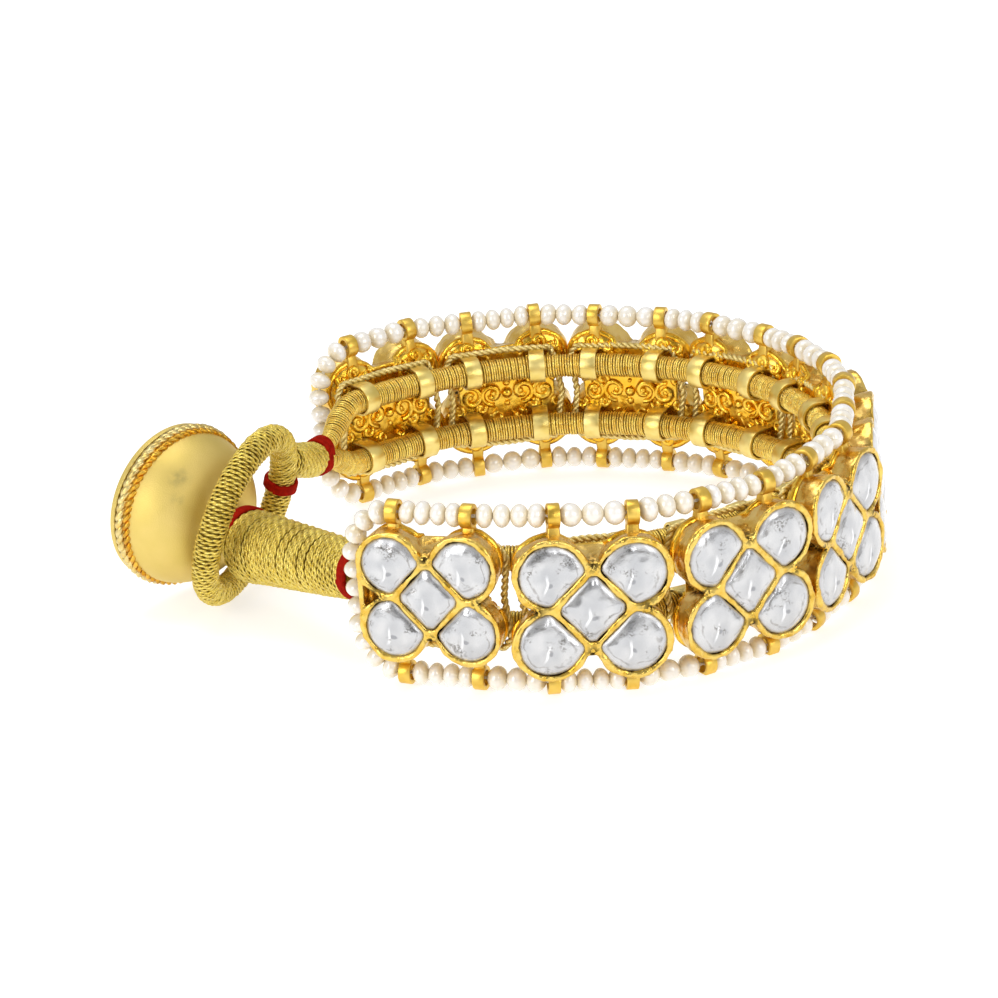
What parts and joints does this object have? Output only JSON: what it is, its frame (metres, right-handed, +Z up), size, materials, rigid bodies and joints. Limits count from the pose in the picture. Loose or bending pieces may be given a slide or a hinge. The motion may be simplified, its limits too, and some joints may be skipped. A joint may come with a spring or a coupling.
{
  "type": "polki bracelet",
  "caption": "Flexible band of flower plaques set with flat uncut stones, edged with strung seed pearls and closed by a wrapped loop over a domed button.",
  "frame": {"origin": "on the axis of the wrist, on the surface that the bracelet rests on", "axes": "+Z up along the wrist axis, +X away from the clasp, +Y towards the side that carries the closing loop"},
  "size_m": [0.079, 0.0697, 0.0191],
  "materials": {
    "plaque_gold": "soft gold foil over a burnished gold body",
    "stone": "clear flat-topped stones over silver foil",
    "pearl": "lustrous white seed pearls",
    "pearl_thread": "plain twisted thread",
    "cord_gold": "fine metallic thread wound round a cord",
    "lashing": "plaited metallic thread",
    "wrapped_thread": "twisted pale gold thread, wound closely",
    "red_thread": "dull red thread binding",
    "button_gold": "satin gold with a twisted wire border"
  },
  "bodies": {
    "root": {"plaque_01": "plaque_gold", "plaque_02": "plaque_gold", "plaque_03": "plaque_gold", "plaque_04": "plaque_gold", "plaque_05": "plaque_gold", "plaque_06": "plaque_gold", "plaque_07": "plaque_gold", "plaque_08": "plaque_gold", "plaque_09": "plaque_gold", "plaque_10": "plaque_gold", "stones_01": "stone", "stones_02": "stone", "stones_03": "stone", "stones_04": "stone", "stones_05": "stone", "stones_06": "stone", "stones_07": "stone", "stones_08": "stone", "stones_09": "stone", "stones_10": "stone", "pearls_upper": "pearl", "pearls_lower": "pearl", "pearl_thread": "pearl_thread", "cord_upper": "cord_gold", "cord_lower": "cord_gold", "lashing_threads": "lashing", "button_stem": "wrapped_thread", "stem_binding": "red_thread", "button_binding": "red_thread", "button": "button_gold", "loop_neck": "wrapped_thread", "loop_neck_binding": "red_thread", "closing_loop": "wrapped_thread", "closing_loop_binding": "red_thread"}
  },
  "joints": []
}
